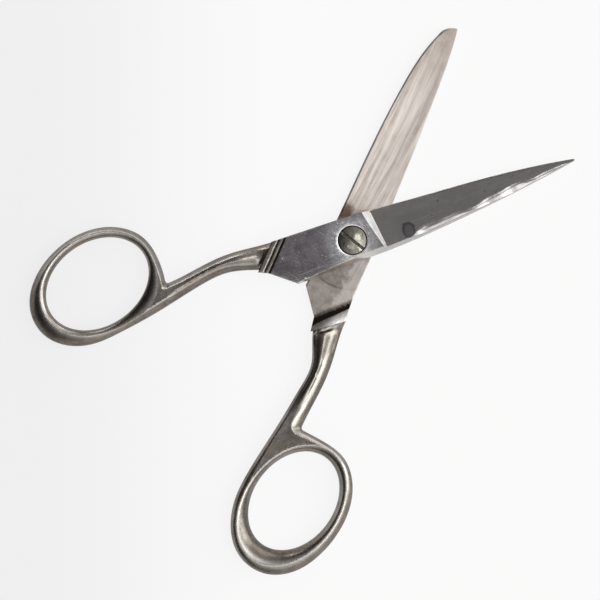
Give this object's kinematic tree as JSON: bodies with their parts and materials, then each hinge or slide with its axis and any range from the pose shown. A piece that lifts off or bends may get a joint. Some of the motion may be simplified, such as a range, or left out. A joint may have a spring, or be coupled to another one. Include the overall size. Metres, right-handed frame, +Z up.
{
  "type": "fabric shears",
  "caption": "Forged steel fabric shears with oval finger bows, a pointed upper blade, a blunt lower blade and a slotted pivot screw.",
  "frame": {"origin": "on the pivot's axis, in the flat underside that the shears lie on", "axes": "+Z up along the pivot screw towards its head, +Y midway between the two blades towards their tips, +X to the right seen from above"},
  "size_m": [0.1232, 0.1572, 0.007],
  "materials": {
    "front_steel": "nickel-plated forged steel, polished bright",
    "rear_steel": "nickel-plated forged steel, inner face ground and brushed",
    "screw_steel": "turned and plated steel, dulled by wear"
  },
  "bodies": {
    "rear": {"rear_half": "rear_steel", "pivot_screw": "screw_steel"},
    "front": {"front_half": "front_steel"}
  },
  "joints": [
    {"name": "pivot", "type": "hinge", "parent": "rear", "child": "front", "pos_m": [0, 0, 0], "axis": [0, 0, 1], "range_deg": [-90, 43.5]}
  ]
}
